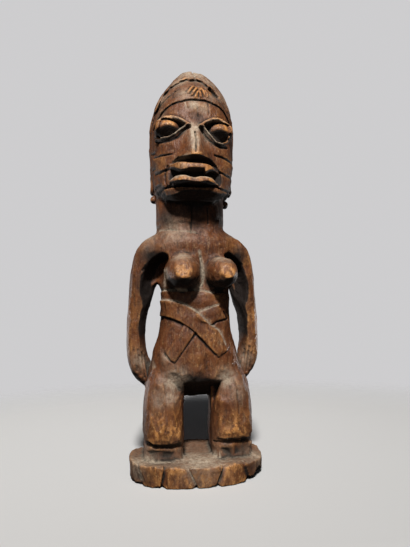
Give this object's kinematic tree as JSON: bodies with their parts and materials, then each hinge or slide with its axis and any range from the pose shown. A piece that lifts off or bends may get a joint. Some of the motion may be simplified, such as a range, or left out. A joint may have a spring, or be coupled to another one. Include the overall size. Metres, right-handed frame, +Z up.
{
  "type": "kneeling female figure",
  "caption": "Carved wood statue of a kneeling woman with a tall capped head, arms at her hips and crossed bands on her body, on a low oval base.",
  "frame": {"origin": "the middle of the base's flat underside", "axes": "+Z up from the base to the crown, the figure faces -Y, +X is on her left as seen from the front on the right"},
  "size_m": [0.1041, 0.0836, 0.32],
  "materials": {
    "carved_wood": "dark brown hardwood with adze and knife marks, rubbed golden on the high points, with pale dust in the cuts"
  },
  "bodies": {
    "root": {"kneeling_figure": "carved_wood"}
  },
  "joints": []
}
